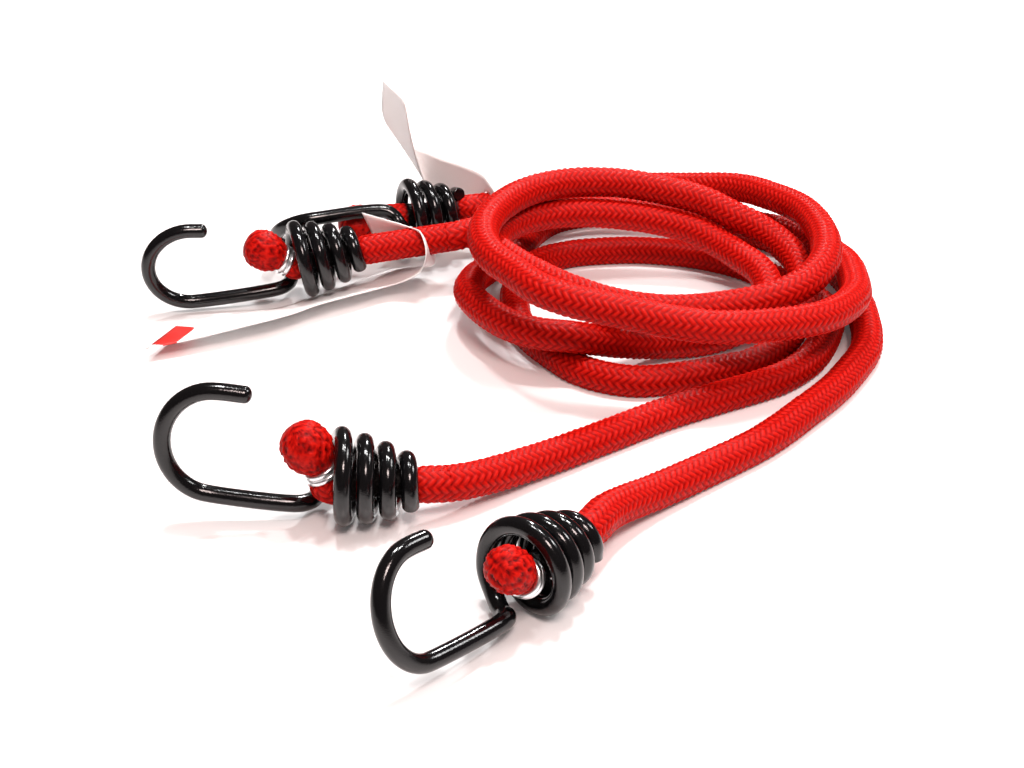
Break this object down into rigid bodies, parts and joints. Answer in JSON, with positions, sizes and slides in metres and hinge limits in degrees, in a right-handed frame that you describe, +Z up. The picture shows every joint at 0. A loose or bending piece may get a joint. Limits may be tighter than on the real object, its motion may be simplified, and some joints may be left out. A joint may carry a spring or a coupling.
{
  "type": "hooked bungee cord pair",
  "caption": "Pair of braided elastic tie-down cords coiled together, each end choked in a conical spiral wire hook with black vinyl coat, crimp ring and paper tags.",
  "frame": {"origin": "on the table, under the front floor strand of the coil, in the middle of the coil_underside face", "axes": "+Z up from the table, +X to the right seen from the side of the free front ends, +Y away from that side"},
  "size_m": [0.202, 0.2261, 0.048],
  "materials": {
    "red_braid": "woven polyester",
    "rubber_core": "matt",
    "black_vinyl": "gloss dip coat",
    "hook_steel": "drawn wire",
    "bright_steel": "bright zinc",
    "tag_paper": "coated paper"
  },
  "bodies": {
    "cord_coil": {"coil_A_cover": "red_braid", "coil_A_core": "rubber_core", "coil_B_cover": "red_braid", "coil_B_core": "rubber_core", "lead_1_cover": "red_braid", "lead_1_core": "rubber_core", "lead_2_cover": "red_braid", "lead_2_core": "rubber_core", "lead_3_cover": "red_braid", "lead_3_core": "rubber_core", "lead_4_cover": "red_braid", "lead_4_core": "rubber_core"},
    "cord_end_1": {"end_1_cover": "red_braid", "end_1_core": "rubber_core", "crimp_ring_1": "bright_steel", "paper_tag_1": "tag_paper"},
    "hook_1": {"hook_1_vinyl_coat": "black_vinyl", "hook_1_steel_wire": "hook_steel"},
    "cord_end_2": {"end_2_cover": "red_braid", "end_2_core": "rubber_core", "crimp_ring_2": "bright_steel"},
    "hook_2": {"hook_2_vinyl_coat": "black_vinyl", "hook_2_steel_wire": "hook_steel"},
    "cord_end_3": {"end_3_cover": "red_braid", "end_3_core": "rubber_core", "crimp_ring_3": "bright_steel"},
    "hook_3": {"hook_3_vinyl_coat": "black_vinyl", "hook_3_steel_wire": "hook_steel"},
    "cord_end_4": {"end_4_cover": "red_braid", "end_4_core": "rubber_core", "crimp_ring_4": "bright_steel"},
    "hook_4": {"hook_4_vinyl_coat": "black_vinyl", "hook_4_steel_wire": "hook_steel"},
    "tag_2": {"paper_tag_2": "tag_paper"}
  },
  "joints": [
    {"name": "stretch_1", "type": "slide", "parent": "cord_coil", "child": "cord_end_1", "axis": [-0.867, -0.4983, 0], "range_m": [0, 0.035], "stiffness_N_per_m": 3200, "deforming": ["lead_1_cover", "lead_1_core"]},
    {"name": "stretch_2", "type": "slide", "parent": "cord_coil", "child": "cord_end_2", "axis": [-0.6222, 0.7828, 0], "range_m": [0, 0.035], "stiffness_N_per_m": 3200, "deforming": ["lead_2_cover", "lead_2_core"]},
    {"name": "stretch_3", "type": "slide", "parent": "cord_coil", "child": "cord_end_3", "axis": [-0.9707, -0.2402, 0], "range_m": [0, 0.1], "stiffness_N_per_m": 1100, "deforming": ["lead_3_cover", "lead_3_core"]},
    {"name": "stretch_4", "type": "slide", "parent": "cord_coil", "child": "cord_end_4", "axis": [-0.6712, -0.7413, 0], "range_m": [0, 0.1], "stiffness_N_per_m": 1100, "deforming": ["lead_4_cover", "lead_4_core"]},
    {"name": "swivel_1", "type": "hinge", "parent": "cord_end_1", "child": "hook_1", "pos_m": [-0.0936, 0.0502, 0.013], "axis": [-0.9758, -0.2074, -0.0698], "range_deg": [-60, 75]},
    {"name": "swivel_2", "type": "hinge", "parent": "cord_end_2", "child": "hook_2", "pos_m": [-0.0655, 0.0781, 0.0144], "axis": [-0.9613, -0.2756, 0], "range_deg": [-6, 1]},
    {"name": "swivel_3", "type": "hinge", "parent": "cord_end_3", "child": "hook_3", "pos_m": [-0.0719, -0.0558, 0.0115], "axis": [-0.9889, -0.0173, 0.1478], "range_deg": [-15, 90]},
    {"name": "swivel_4", "type": "hinge", "parent": "cord_end_4", "child": "hook_4", "pos_m": [-0.0313, -0.0905, 0.0114], "axis": [-0.6911, -0.7157, 0.1011], "range_deg": [-90, 50]},
    {"name": "tag_2_turn", "type": "hinge", "parent": "cord_end_2", "child": "tag_2", "pos_m": [-0.03907, 0.08568, 0.0144], "axis": [-0.9613, -0.2756, 0], "range_deg": [-8, 8]}
  ]
}
